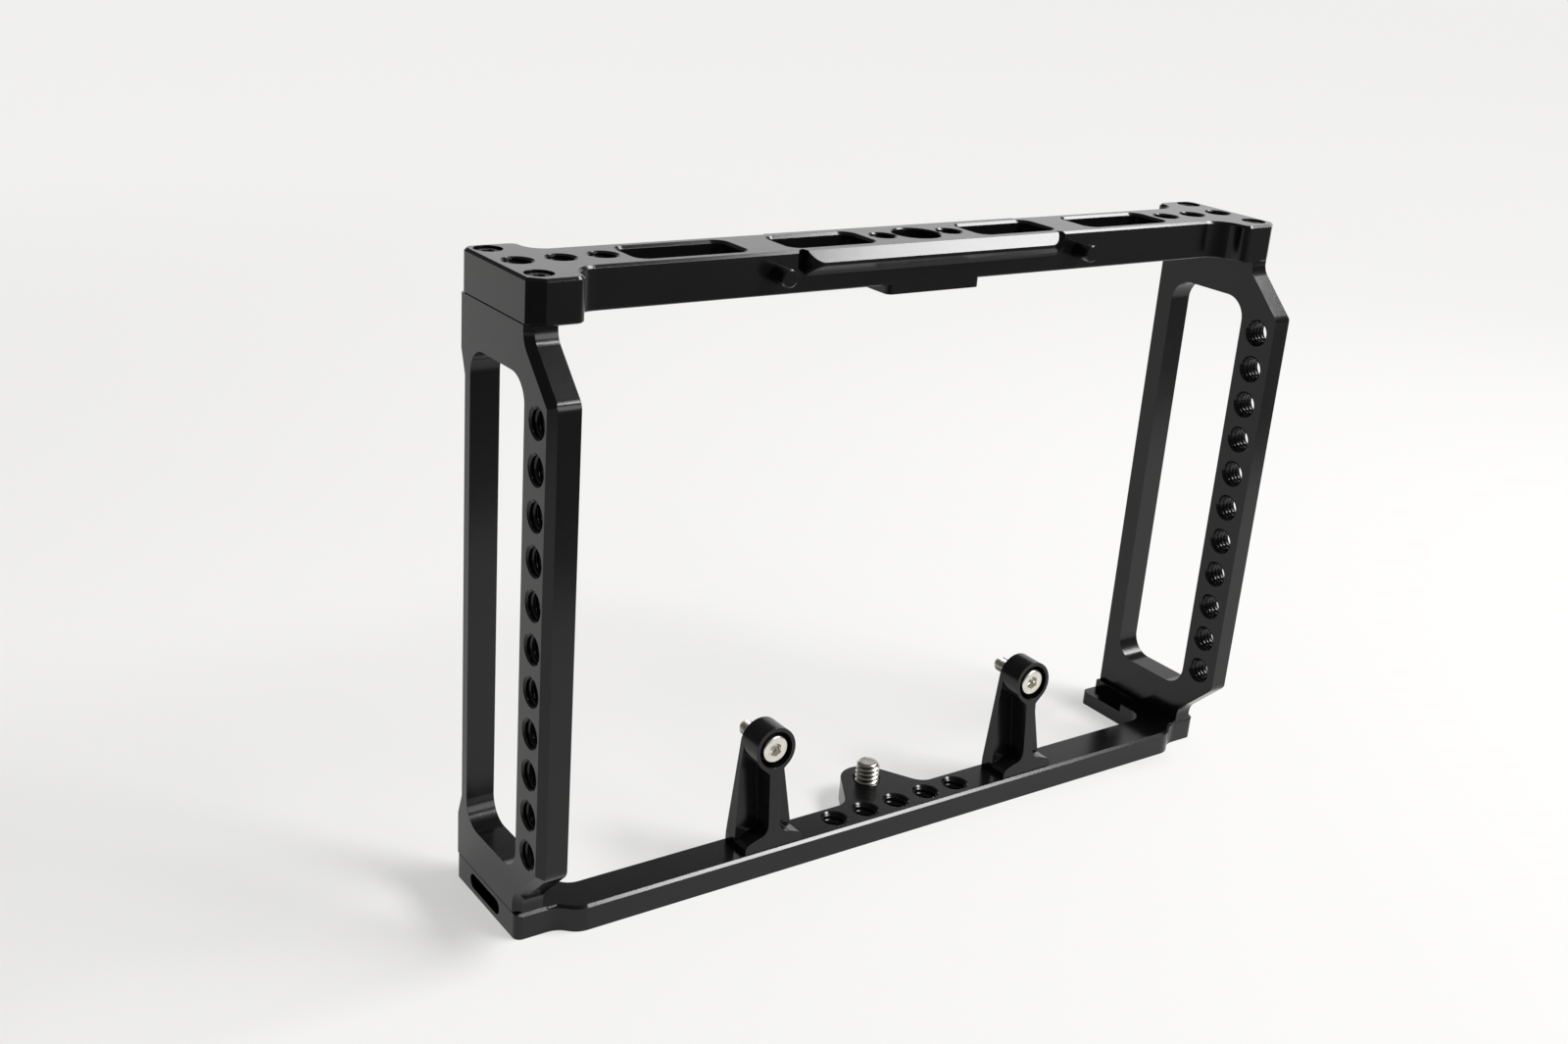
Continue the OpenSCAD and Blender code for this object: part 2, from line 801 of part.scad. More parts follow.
module post()
  difference() {
    union() {
      intersection() {
        translate([0, -post_d / 2, 0])
          along_y(post_d)
            post_outline();
        along_x(2 * post_w)
          polygon([[-post_d, 0], [0, 0], [0, post_h + over], [-post_top_d, post_h + over]]);
      }
      intersection() {
        translate([0, -post_d / 2, 0])
          along_y(post_d)
            web_outline();
        along_x(2 * post_w)
          polygon([
            [-web_foot, 0], [0, 0], [0, post_h + over], [-web_t, post_h + over],
            [-web_t, head_z - head_low]
          ]);
      }
    }
    translate([0, over, head_z])
      rotate([90, 0, 0])
        cylinder(h = post_d + 2 * over, r = m4_r + run_fit);
    translate([0, -post_floor, head_z])
      rotate([90, 0, 0])
        cylinder(h = post_d, r = post_bore);
    translate([0, -post_d / 2, -over])
      cylinder(h = post_bite + gap + over, r = m3_r + seat_fit);
  }

module left_post()
  color(black)
    translate([-post_x, beam_rear, base_t])
      post();

module right_post()
  color(black)
    translate([post_x, beam_rear, base_t])
      post();

// Screws

// Points of n thread ridges along z, with the first crest at z
function ridges(r, p, h, n, z) = [
  for (k = [0 : n - 1], q = [[h, -0.3125], [0, 0], [0, 0.125], [h, 0.4375]])
    [r - q[0], z + (k + q[1]) * p]
];

module hex_socket(w, d)
  cylinder(h = d, r = w / 2 / cos(30), $fn = 6);

// A joint screw with its head's underside at z = 0 and its thread below
module joint_screw(len)
  difference() {
    rotate_extrude()
      polygon([
        [0, -len], [m3_r - gap, -len], [m3_r, gap - len], [m3_r, 0], [m3_head_r, 0],
        [m3_head_r, m3_head_h - gap], [m3_head_r - gap, m3_head_h], [0, m3_head_h]
      ]);
    translate([0, 0, m3_head_h / 2])
      hex_socket(m3_hex, m3_head_h);
  }

module top_joint_screws()
  for (y = joint_y)
    translate([joint_x, y, cage_h - sink_d])
      joint_screw(top_t - sink_d + m3_bite);

module bottom_joint_screws()
  for (y = joint_y)
    translate([joint_x, y, sink_d])
      mirror([0, 0, 1])
        joint_screw(base_t - sink_d + m3_bite);

module top_right_joint_screws()
  color(black)
    top_joint_screws();

module top_left_joint_screws()
  color(black)
    mirror([1, 0, 0])
      top_joint_screws();

module bottom_right_joint_screws()
  color(black)
    bottom_joint_screws();

module bottom_left_joint_screws()
  color(black)
    mirror([1, 0, 0])
      bottom_joint_screws();

module base_screw(x)
  translate([x, beam_rear - post_d / 2, sink_d])
    mirror([0, 0, 1])
      joint_screw(base_t - sink_d + post_bite);

module left_post_base_screw()
  color(black)
    base_screw(-post_x);

module right_post_base_screw()
  color(black)
    base_screw(post_x);

// A post screw with its head to the front and its thread behind the post
module post_screw(x) {
  h = 0.61 * m4_p;
  grip = post_floor + gap;
  n = floor((m4_len - grip - h) / m4_p);
  first = m4_len - h - (n - 0.875) * m4_p;
  translate([x, seat_y - gap, base_t + head_z])
    to_rear()
      difference() {
        rotate_extrude()
          polygon(concat(
            [
              [0, -m4_head_h], [m4_head_r - gap, -m4_head_h], [m4_head_r, gap - m4_head_h],
              [m4_head_r, 0], [m4_shank_r, 0], [m4_shank_r, first - 0.5 * m4_p]
            ],
            ridges(m4_r, m4_p, h, n, first),
            [[m4_r - 1.5 * h, m4_len], [0, m4_len]]
          ));
        translate([0, 0, -m4_head_h - over])
          hex_socket(m4_hex, m4_head_h / 2 + over);
      }
}

module left_post_screw()
  color(steel)
    post_screw(-post_x);

module right_post_screw()
  color(steel)
    post_screw(post_x);

module monitor_screw() {
  top = base_t + screw_up;
  first = base_t + thread_p / 8;
  n = floor((screw_up - thread_h) / thread_p) + 1;
  color(steel)
    translate([0, screw_y, 0])
      difference() {
        rotate_extrude()
          polygon(concat(
            [
              [0, gap], [screw_head_r - gap, gap], [screw_head_r, 2 * gap],
              [screw_head_r, gap + screw_head_h], [screw_shank_r, gap + screw_head_h],
              [screw_shank_r, clip_z - gap], [neck_r, clip_z - gap],
              [neck_r, clip_z + clip_t + gap], [screw_shank_r, clip_z + clip_t + gap],
              [screw_shank_r, first - 0.5 * thread_p]
            ],
            ridges(thread_r, thread_p, thread_h, n, first),
            [[thread_r - thread_h, top], [0, top]]
          ));
        hex_socket(m4_hex, screw_head_h);
      }
}

module monitor_screw_clip()
  color(steel)
    translate([0, screw_y, clip_z])
      difference() {
        cylinder(h = clip_t, r = clip_r);
        translate([0, 0, -over])
          cylinder(h = clip_t + 2 * over, r = neck_r + run_fit);
        translate([0, -neck_r / 2, -over])
          cube([clip_r + over, neck_r, clip_t + 2 * over]);
      }

// Stop pins

module stop_pin(x) {
  nose = collar_y - (front - pin_out);
  translate([x, front - pin_out, top_z + top_t / 2])
    to_rear()
      rotate_extrude()
        polygon([
          [0, 0], [pin_r - gap, 0], [pin_r, gap], [pin_r, nose],
          [chamber_r - run_fit, nose], [chamber_r - run_fit, nose + collar_t],
          [tail_r, nose + collar_t], [tail_r, nose + collar_t + tail_len],
          [0, nose + collar_t + tail_len]
        ]);
}

module left_stop_pin()
  color(black)
    stop_pin(-pin_x);

module right_stop_pin()
  color(black)
    stop_pin(pin_x);

// A coil from the back of the collar to the plug
module stop_spring(x) {
  sides = 6;
  steps = 12 * coil_n;
  start = collar_y + collar_t;
  coil_r = (tail_r + chamber_r) / 2;
  rise = (plug_y - start - 2 * wire_r - 0.1) / steps;
  points = [
    for (i = [0 : steps], j = [0 : sides - 1])
      let (a = 30 * i, b = 360 * j / sides, r = coil_r + wire_r * cos(b))
        [r * cos(a), r * sin(a), wire_r + 0.05 + i * rise + wire_r * sin(b)]
  ];
  skin = [
    for (i = [0 : steps - 1], j = [0 : sides - 1])
      let (k = (j + 1) % sides, p = i * sides, q = p + sides)
        each [[p + j, q + j, p + k], [q + j, q + k, p + k]]
  ];
  caps = [
    for (j = [1 : sides - 2])
      each [[0, j, j + 1], [steps * sides, steps * sides + j + 1, steps * sides + j]]
  ];
  translate([x, start, top_z + top_t / 2])
    to_rear()
      polyhedron(points, concat(skin, caps));
}

module left_stop_pin_spring()
  color(steel)
    stop_spring(-pin_x);

module right_stop_pin_spring()
  color(steel)
    stop_spring(pin_x);

module stop_plug(x)
  translate([x, plug_y, top_z + top_t / 2])
    to_rear()
      difference() {
        cylinder(h = plug_t - gap, r = chamber_r - seat_fit);
        translate([0, 0, plug_t / 2])
          hex_socket(m4_hex, plug_t);
      }

module left_stop_pin_plug()
  color(black)
    stop_plug(-pin_x);

module right_stop_pin_plug()
  color(black)
    stop_plug(pin_x);

top_plate();
left_side_plate();
right_side_plate();
bottom_plate();
left_post();
right_post();
left_post_screw();
right_post_screw();
monitor_screw();
monitor_screw_clip();
left_stop_pin();
right_stop_pin();
left_stop_pin_spring();
right_stop_pin_spring();
left_stop_pin_plug();
right_stop_pin_plug();
top_left_joint_screws();
top_right_joint_screws();
bottom_left_joint_screws();
bottom_right_joint_screws();
left_post_base_screw();
right_post_base_screw();
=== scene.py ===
"""Looks of the monitor cage, laid out as an add-on.

It gives the plates, posts, pins and screws their finishes, cuts the threads, turns the screws,
winds the springs, and sets the floor, the light and the camera.
"""

import json
import math

import bpy
import numpy as np
from bpy.props import FloatProperty, FloatVectorProperty, IntProperty, PointerProperty
from bpy.types import Operator, Panel, PropertyGroup
from mathutils import Matrix, Quaternion, Vector


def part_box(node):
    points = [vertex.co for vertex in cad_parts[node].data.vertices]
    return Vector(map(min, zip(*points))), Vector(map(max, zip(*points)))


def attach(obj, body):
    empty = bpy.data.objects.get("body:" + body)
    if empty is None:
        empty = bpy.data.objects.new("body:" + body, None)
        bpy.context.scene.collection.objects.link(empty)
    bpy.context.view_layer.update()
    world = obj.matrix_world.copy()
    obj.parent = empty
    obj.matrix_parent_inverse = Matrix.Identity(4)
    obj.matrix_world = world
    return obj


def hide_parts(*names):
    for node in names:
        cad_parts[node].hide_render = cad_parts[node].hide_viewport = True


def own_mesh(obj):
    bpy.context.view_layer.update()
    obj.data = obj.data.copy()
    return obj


bl_info = {
    "name": "Monitor cage",
    "version": (1, 0, 0),
    "blender": (4, 5, 0),
    "location": "3D View > Sidebar > Cage",
    "description": "Finishes, threads, screws and springs of a monitor cage, with its stage",
    "category": "Object",
}

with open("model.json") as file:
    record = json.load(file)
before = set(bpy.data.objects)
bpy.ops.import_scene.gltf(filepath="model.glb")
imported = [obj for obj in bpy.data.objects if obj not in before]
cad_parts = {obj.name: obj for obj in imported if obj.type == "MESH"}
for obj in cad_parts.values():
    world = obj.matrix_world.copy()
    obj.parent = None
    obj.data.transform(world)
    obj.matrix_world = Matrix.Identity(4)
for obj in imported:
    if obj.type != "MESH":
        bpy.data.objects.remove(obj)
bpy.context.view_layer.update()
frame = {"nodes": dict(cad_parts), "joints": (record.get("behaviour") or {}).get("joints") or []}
MM = 0.001

# Pieces of the CAD that keep their shape

PLATES = (
    "top_plate", "left_side_plate", "right_side_plate", "bottom_plate", "left_post", "right_post",
)
DARK_SCREWS = (
    "top_left_joint_screws", "top_right_joint_screws", "bottom_left_joint_screws",
    "bottom_right_joint_screws", "left_post_base_screw", "right_post_base_screw",
    "left_stop_pin_plug", "right_stop_pin_plug",
)
PINS = ("left_stop_pin", "right_stop_pin")
CLIP = ("monitor_screw_clip",)

# Places in the cage, in millimetres

HOLE_STEP = 10  # from hole to hole in every row
SIDE_FACE = 110.5  # outer face of a side plate, from the middle
SIDE_ROW_Y, SIDE_ROW_Z = -15.4, 75.15  # middle hole of a side plate
SIDE_HOLES, SIDE_THICK = 11, 7.0
TOP_LINE_Y = 5.55  # line of the holes in the top plate
TOP_END, TOP_END_HOLES = 5.55, 3  # first hole of the top plate, from its end
TOP_UNDER, BOSS_UNDER = 143.7, 141.4  # undersides of the top plate and of its boss
TOP_THICK, BOSS_THICK = 9.7, 12.0
BOSS_HOLE_X = 10.1  # the two holes beside the centre bore
BASE_ROW_Y = -9.1  # line of the holes in the bottom plate
BASE_HOLES, BASE_THICK = 5, 6.6
RIM, BOSS_RIM = 0.475, 0.375  # broken rims of the holes
POST_SCREW_X, POST_SCREW_Y, POST_SCREW_Z = 41.8, -7.4, 32.7  # underside of a post screw's head
MONITOR_SCREW = (0, 3.7, 0)  # foot of the upright screw

# The stage, in metres

FLOOR_REACH = 6.0
FLOOR_NEAR, FLOOR_FAR = 0.22, 1.0  # radii between which the floor's glow rises
FAR_GLOW = 0.97
WALL_LIGHT = 0.975  # the wall takes the tone of the far floor
CARD_LEFT, CARD_RIGHT, CARD_FRONT, CARD_BACK = -1.2, 1.6, -1.6, -0.2
CARD_HEIGHT = 0.002
MIDDLE = Vector((0.0, 0.0, 0.075))  # what the lamps point at
KEY_PLACE = Vector((1.334, -0.737, 1.665))
KEY_AXIS = Vector((0.370, 0.912, 0.174))  # direction in which its two halves lie
KEY_HALVES = (("key_left", -0.5, 1.0), ("key_right", 0.5, 0.72))  # name, side, share of power
KEY_SIZE = (0.775, 0.56)  # of one half
KEY_ROLL = 14.0
FRONT_PLACE, FRONT_SIZE = (0.84, -1.72, 0.64), (0.7, 0.9)
BACK_PLACE, BACK_SIZE = (4.53, 6.4, 2.05), (12.1, 3.96)
CAMERA_PLACE = (-0.264693, -0.314757, 0.233261)
CAMERA_RIGHT = (0.822919, -0.563617, 0.0717)
CAMERA_UP = (0.14402, 0.329005, 0.933281)
CAMERA_BACK = (-0.549603, -0.757688, 0.351917)
CAMERA_NEAR, CAMERA_FAR = 0.01, 30.0
SENSOR_WIDTH = 36.0  # millimetres

# Sockets of a Mix node that mixes colours

MIX_FACTOR, MIX_FIRST, MIX_SECOND, MIX_COLOUR = 0, 6, 7, 2


# Shader maths


class Val:
    """A socket that takes part in Python expressions."""

    def __init__(self, shader, socket):
        self.shader, self.socket = shader, socket

    def math(self, operation, *values):
        settings = {"operation": operation}
        return self.shader.add("ShaderNodeMath", settings, dict(enumerate(values))).out(0)

    def __add__(self, other):
        return self.math("ADD", self, other)

    def __radd__(self, other):
        return self.math("ADD", other, self)

    def __sub__(self, other):
        return self.math("SUBTRACT", self, other)

    def __rsub__(self, other):
        return self.math("SUBTRACT", other, self)

    def __mul__(self, other):
        return self.math("MULTIPLY", self, other)

    def __rmul__(self, other):
        return self.math("MULTIPLY", other, self)

    def __pow__(self, other):
        return self.math("POWER", self, other)

    def __rpow__(self, other):
        return self.math("POWER", other, self)

    def clip(self):
        """The value, kept between 0 and 1."""
        settings = {"operation": "ADD", "use_clamp": True}
        return self.shader.add("ShaderNodeMath", settings, {0: self, 1: 0.0}).out(0)

    def smooth(self, low, high):
        """0 below low, 1 above high and a smooth rise between."""
        settings = {"interpolation_type": "SMOOTHSTEP"}
        sockets = {"Value": self, "From Min": low, "From Max": high}
        return self.shader.add("ShaderNodeMapRange", settings, sockets).out("Result")


class Made:
    """A node that was just added."""

    def __init__(self, shader, node):
        self.shader, self.node = shader, node

    def out(self, key):
        return Val(self.shader, self.node.outputs[key])


class Shader:
    """The node tree of a material or a world."""

    def __init__(self, owner):
        owner.use_nodes = True
        self.owner, self.tree = owner, owner.node_tree
        self.tree.nodes.clear()

    def add(self, kind, settings=None, sockets=None):
        """Any node: its type, its settings, and the values or links of its sockets."""
        node = self.tree.nodes.new(kind)
        for key, value in (settings or {}).items():
            setattr(node, key, value)
        for key, value in (sockets or {}).items():
            if isinstance(value, Val):
                self.tree.links.new(value.socket, node.inputs[key])
            else:
                node.inputs[key].default_value = value
        return Made(self, node)

    def mix(self, factor, first, second):
        """A colour between two colours."""
        sockets = {MIX_FACTOR: factor, MIX_FIRST: first, MIX_SECOND: second}
        return self.add("ShaderNodeMix", {"data_type": "RGBA"}, sockets).out(MIX_COLOUR)

    def noise(self, place, scale, detail, rough):
        """A cloudy value round 0.5."""
        sockets = {"Vector": place, "Scale": scale, "Detail": detail, "Roughness": rough}
        return self.add("ShaderNodeTexNoise", None, sockets).out(0)

    def place(self):
        return self.add("ShaderNodeTexCoord").out("Object")

    def split(self, place):
        """The three parts of a place."""
        parts = self.add("ShaderNodeSeparateXYZ", None, {0: place})
        return [parts.out(axis) for axis in "XYZ"]

    def rounded(self, radius):
        """The normal, rounded over the edges."""
        return self.add("ShaderNodeBevel", {"samples": 6}, {"Radius": radius}).out("Normal")

    def lean(self, soft):
        """How far a rounded normal leans off its face: 0 on a flat, up to 1 on an edge."""
        face = self.add("ShaderNodeNewGeometry").out("Normal")
        settings = {"operation": "DOT_PRODUCT"}
        return 1.0 - self.add("ShaderNodeVectorMath", settings, {0: soft, 1: face}).out("Value")

    def bump(self, height, strength, depth, normal=None):
        """A normal bent by a height."""
        sockets = {"Strength": strength, "Distance": depth, "Height": height}
        if normal:
            sockets["Normal"] = normal
        return self.add("ShaderNodeBump", None, sockets).out(0)

    def close(self, surface):
        """Ends a material with its surface and returns the material."""
        self.add("ShaderNodeOutputMaterial", None, {"Surface": surface})
        return self.owner

    def principled(self, sockets):
        """Ends a material with one Principled shader and returns the material."""
        return self.close(self.add("ShaderNodeBsdfPrincipled", None, sockets).out(0))


def rgba(colour, share=1.0):
    return (*(min(1.0, c * share) for c in colour), 1.0)


def new_material(name):
    return Shader(bpy.data.materials.new(name))


# Finishes


def anodised_finish(looks):
    """Black anodising over bead-blasted aluminium, a little paler at the edges, partly from wear
    and partly as a painted highlight.
    """
    m = new_material("black_anodising")
    at = m.place()
    cloud = m.noise(at, scale=45.0, detail=4.0, rough=0.55)
    grain = m.noise(at, scale=5200.0, detail=2.0, rough=0.6)
    pits = m.noise(at, scale=1500.0, detail=3.0, rough=0.65)
    soft = m.rounded(looks.edge_radius)
    # paler edges: partly worn anodising, partly a painted edge highlight
    worn_and_highlit = (m.lean(soft) * 2.4).smooth(0.05, 0.9) * pits.smooth(0.25, 0.75)
    tint = m.mix(cloud.smooth(0.3, 0.7), rgba(looks.black), rgba(looks.black, 1.25))
    tint = m.mix(worn_and_highlit * looks.edge_wear_and_highlight, tint, rgba(looks.bare_and_highlit_edge))
    rough = looks.satin + (cloud - 0.5) * 0.08 + (grain - 0.5) * 0.12 - worn_and_highlit * 0.06
    blast = m.bump(grain + pits * 0.6, strength=0.35, depth=0.02 * MM, normal=soft)
    return m.principled({
        "Base Color": tint, "Roughness": rough, "Normal": blast, "IOR": 1.4, "Metallic": 0.0,
    })


def stainless_finish(name, colour, rough_level, edge_radius, shaded_root=None):
    """Turned stainless steel: fine rings round the axis and a faint warm tint.

    The shaded root gives the radii between which painted shade darkens the thread's valleys, and
    the height where it ends.
    """
    m = new_material(name)
    at = m.place()
    x, y, z = m.split(at)
    radius = (x * x + y * y) ** 0.5
    turning = m.add("ShaderNodeCombineXYZ", None, {0: radius, 1: z, 2: 0.0}).out(0)
    rings = m.noise(turning, scale=5200.0, detail=2.0, rough=0.6)
    cloud = m.noise(at, scale=420.0, detail=3.0, rough=0.6)
    tint = m.mix(cloud.smooth(0.3, 0.75), rgba(colour), rgba(colour, 0.86))
    if shaded_root:
        low, high, end = shaded_root
        # painted shade in the thread's valleys, darkening the tint towards the root
        painted_root_shade = (1.0 - radius.smooth(low, high)) * (1.0 - z.smooth(end - 0.15 * MM, end))
        tint = m.mix(painted_root_shade, tint, rgba(colour, 0.12))
    rough = rough_level + rings * 0.1 + (cloud - 0.5) * 0.12
    soft = m.rounded(edge_radius)
    normal = m.bump(rings, strength=0.25, depth=0.012 * MM, normal=soft)
    return m.principled({
        "Base Color": tint, "Roughness": rough, "Normal": normal, "Metallic": 1.0,
    })


def black_steel_finish(name, colour, rough_level, rub):
    """Steel blackened in a bath: dark, slightly oily, with brown patches and rubbed edges."""
    m = new_material(name)
    at = m.place()
    cloud = m.noise(at, scale=900.0, detail=4.0, rough=0.6)
    grain = m.noise(at, scale=7000.0, detail=2.0, rough=0.6)
    soft = m.rounded(0.12 * MM)
    rubbed = (m.lean(soft) * 2.2).smooth(0.1, 0.9) * cloud.smooth(0.35, 0.7)
    brown = [c * more for c, more in zip(colour, (1.5, 1.35, 1.25))]
    tint = m.mix(cloud.smooth(0.35, 0.75), rgba(colour), rgba(brown))
    tint = m.mix(rubbed * rub, tint, rgba((0.12, 0.117, 0.112)))
    rough = rough_level + (cloud - 0.5) * 0.14
    skin = m.bump(grain, strength=0.2, depth=0.012 * MM, normal=soft)
    return m.principled({
        "Base Color": tint, "Roughness": rough, "Normal": skin, "Metallic": 0.5,
    })


def spring_finish():
    """Drawn wire with a dull sheen."""
    m = new_material("spring_wire")
    streak = m.noise(m.place(), scale=2600.0, detail=3.0, rough=0.6)
    tint = m.mix(streak, rgba((0.42, 0.41, 0.39)), rgba((0.6, 0.59, 0.56)))
    return m.principled({
        "Base Color": tint, "Roughness": 0.28 + streak * 0.14, "Metallic": 1.0,
    })


def floor_finish(stage):
    """Pale paper that keeps a soft shadow of what stands on it."""
    m = new_material("pale_paper")
    at = m.place()
    fibre = m.noise(at, scale=160.0, detail=5.0, rough=0.65)
    cloud = m.noise(at, scale=7.0, detail=3.0, rough=0.5)
    fleck = m.noise(at, scale=480.0, detail=2.0, rough=0.5).smooth(0.7, 0.82)
    shade = (cloud - 0.5) * 0.03 + (fibre - 0.5) * 0.03 - fleck * 0.04
    tint = m.mix((shade + 0.5).clip(), rgba(stage.paper, 0.9), rgba(stage.paper, 1.1))
    normal = m.bump(fibre, strength=0.1, depth=0.1 * MM)
    paper = m.add("ShaderNodeBsdfDiffuse", None, {"Color": tint, "Normal": normal}).out(0)
    glow = m.add("ShaderNodeEmission", None, {"Color": tint, "Strength": 1.0}).out(0)
    path = m.add("ShaderNodeLightPath")
    camera, glossy = path.out("Is Camera Ray"), path.out("Is Glossy Ray")
    seen = (camera + glossy + path.out("Is Transmission Ray")).clip()
    x, y, _ = m.split(at)
    far = ((x * x + y * y) ** 0.5).smooth(FLOOR_NEAR, FLOOR_FAR)
    share = stage.paper_glow + far * (FAR_GLOW - stage.paper_glow)
    sockets = {0: seen * share, 1: paper, 2: glow}
    return m.close(m.add("ShaderNodeMixShader", None, sockets).out(0))


def card_finish():
    """Dull black card that keeps the front faces dark."""
    m = new_material("dark_card")
    tone = m.noise(m.place(), scale=60.0, detail=3.0, rough=0.5)
    tint = m.mix(tone, rgba((0.07, 0.07, 0.072)), rgba((0.11, 0.11, 0.112)))
    return m.principled({"Base Color": tint, "Roughness": 0.7 + tone * 0.2})


def dress(names, material):
    """Gives CAD pieces one material."""
    for name in names:
        slots = frame["nodes"][name].data.materials
        slots.clear()
        slots.append(material)


# Meshes


def piece(name, points, faces, material, sharp=35.0):
    """A new object, smooth but for the edges that bend by more than sharp degrees."""
    mesh = bpy.data.meshes.new(name)
    mesh.from_pydata([tuple(p) for p in points], [], faces)
    mesh.polygons.foreach_set("use_smooth", [True] * len(mesh.polygons))
    mesh.set_sharp_from_angle(angle=math.radians(sharp))
    mesh.materials.append(material)
    mesh.update()
    thing = bpy.data.objects.new(name, mesh)
    bpy.context.scene.collection.objects.link(thing)
    return thing


def angles(sides):
    return np.arange(sides) * math.tau / sides


def band(first, second, sides):
    """Faces between two rings of points, given by the number of each ring's first point."""
    pairs = [(j, (j + 1) % sides) for j in range(sides)]
    return [(first + j, first + k, second + k, second + j) for j, k in pairs]


def turned(rows, sides):
    """Points and faces of a closed turned shape.

    Each row gives a radius and a height, one for all sides or one for each.
    """
    angle = angles(sides)
    points, faces = [], []
    for radius, height in rows:
        radius, height = np.broadcast_to(radius, sides), np.broadcast_to(height, sides)
        points += list(zip(radius * np.cos(angle), radius * np.sin(angle), height))
    last = (len(rows) - 1) * sides
    for first in range(0, last, sides):
        faces += band(first, first + sides, sides)
    for first, way in ((0, -1), (last, 1)):
        ring = points[first:first + sides]
        points.append((0.0, 0.0, float(np.mean([p[2] for p in ring]))))
        middle = len(points) - 1
        for i in range(sides):
            pair = (first + i, first + (i + 1) % sides)
            faces.append((*pair[::way], middle))
    return points, faces


def hexagon(width, sides):
    """Radius of a hexagon, measured across its flats, at each side of a turned shape."""
    flat = 60  # degrees that one flat takes
    turn = np.degrees(angles(sides))
    return width / 2 / np.cos(np.radians((turn + flat / 2) % flat - flat / 2))


def thread_rows(radius, pitch, depth, start, end, sides, taper):
    """Rows of an outer thread that winds from start to end and fades over taper at both ends."""
    rows_a_turn, crest_flat, flank = 10, 0.14, 0.72
    rows = []
    for z in np.arange(start, end + 1e-9, pitch / rows_a_turn):
        phase = (z / pitch - angles(sides) / math.tau) % 1.0
        wave = np.clip((np.abs(phase - 0.5) * 2 - crest_flat) / flank, 0, 1)
        fade = min(1.0, (z - start) / taper)
        crest = radius - max(0.0, (z - end + taper) / taper) * depth
        rows.append((np.minimum(crest, radius - depth * fade * wave), z))
    return rows


def hole_thread(radius, pitch, depth, length, rim, sides):
    """Points and faces of the ridge that a tap leaves in a hole, from z = 0 to length.

    The ridge starts inside the hole's broken rim and fades over about one turn.
    """
    # Corners of the ridge: how deep, in depths, and how high, in pitches
    profile = ((-0.04, -0.47), (1.0, -0.21), (1.0, 0.21), (-0.04, 0.47))
    corners = len(profile)
    fade_rate, least, narrow = 0.9, 0.02, 0.25
    inset = rim * 0.4
    start, end = inset, length - inset
    steps = int((end - start) / pitch * sides)
    points, faces = [], []
    for i in range(steps + 1):
        z, a = start + pitch * i / sides, math.tau * i / sides
        grown, left = (z - start) / pitch, (end - z) / pitch
        fade = max(least, min(1.0, grown * fade_rate, left * fade_rate))
        for deep, wide in profile:
            r = radius - depth * (deep * fade if deep > 0 else deep)
            high = z + wide * pitch * (narrow + (1 - narrow) * fade)
            points.append((r * math.cos(a), r * math.sin(a), high))
    last = corners * steps
    for first in range(0, last, corners):
        faces += band(first, first + corners, corners)
    faces += [tuple(reversed(range(corners))), tuple(range(last, last + corners))]
    return points, faces


def wound(radius, wire, turns, length):
    """Points and faces of a spring along +Z whose end turns lie close together."""
    steps, sides = 40, 12
    close_turns, opening_turns, close_pitch = 0.6, 0.8, 2.1 * wire
    turn = np.linspace(0, turns, turns * steps + 1)
    from_end = np.minimum(turn, turns - turn)
    loose = np.cumsum(np.clip(from_end - close_turns, 0, opening_turns))
    tight = close_pitch * turn
    height = wire + tight + loose / loose[-1] * (length - 2 * wire - tight[-1])
    points, faces = [], []
    for a, z in zip(turn * math.tau, height):
        for b in angles(sides):
            r = radius + wire * math.cos(b)
            points.append((r * math.cos(a), r * math.sin(a), z + wire * math.sin(b)))
    last = (len(turn) - 1) * sides
    for first in range(0, last, sides):
        faces += [(a, d, c, b) for a, b, c, d in band(first, first + sides, sides)]
    faces += [tuple(range(sides)), tuple(reversed(range(last, last + sides)))]
    return points, faces


def placed(parts):
    """Joins shapes, each with a matrix that puts it in place."""
    points, faces = [], []
    for (some, corners), matrix in parts:
        first = len(points)
        points += [matrix @ Vector(p) for p in some]
        faces += [tuple(first + c for c in face) for face in corners]
    return points, faces


def along(axis, place):
    """A matrix that turns +Z to an axis and moves the start to a place given in millimetres."""
    turn = Vector((0, 0, 1)).rotation_difference(Vector(axis)).to_matrix().to_4x4()
    return Matrix.Translation(Vector(place) * MM) @ turn


# Sizes and colours


